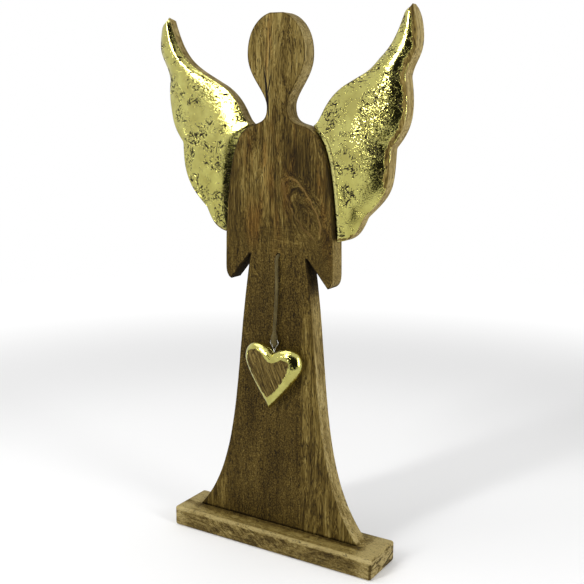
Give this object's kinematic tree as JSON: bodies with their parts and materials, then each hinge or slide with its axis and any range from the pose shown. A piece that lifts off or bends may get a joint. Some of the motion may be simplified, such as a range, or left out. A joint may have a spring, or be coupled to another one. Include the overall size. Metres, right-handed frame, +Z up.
{
  "type": "wooden angel statue",
  "caption": "Flat sawn wooden angel standing on a rectangular plinth, with pillow-shaped gilded wings and a gilded heart that hangs from a cord on its front.",
  "frame": {"origin": "middle of the plinth's underside", "axes": "+Z up, the front faces -Y, +X to the viewer's right when facing the front"},
  "size_m": [0.2622, 0.049, 0.4994],
  "materials": {
    "plinth_wood": "waxed light brown wood, satin",
    "figure_wood": "waxed dark brown wood with open pores, satin",
    "gold_leaf": "worn gold leaf over dark wood, glossy",
    "heart_gilt": "gold leaf on the rim, bare wood in the middle",
    "steel_wire": "drawn bright wire",
    "suede_cord": "matt grey-green suede"
  },
  "bodies": {
    "root": {"plinth": "plinth_wood", "angel_board": "figure_wood", "wing_left": "gold_leaf", "wing_right": "gold_leaf", "heart_pendant": "heart_gilt", "wire_eyelet": "steel_wire", "pendant_cord": "suede_cord"}
  },
  "joints": []
}
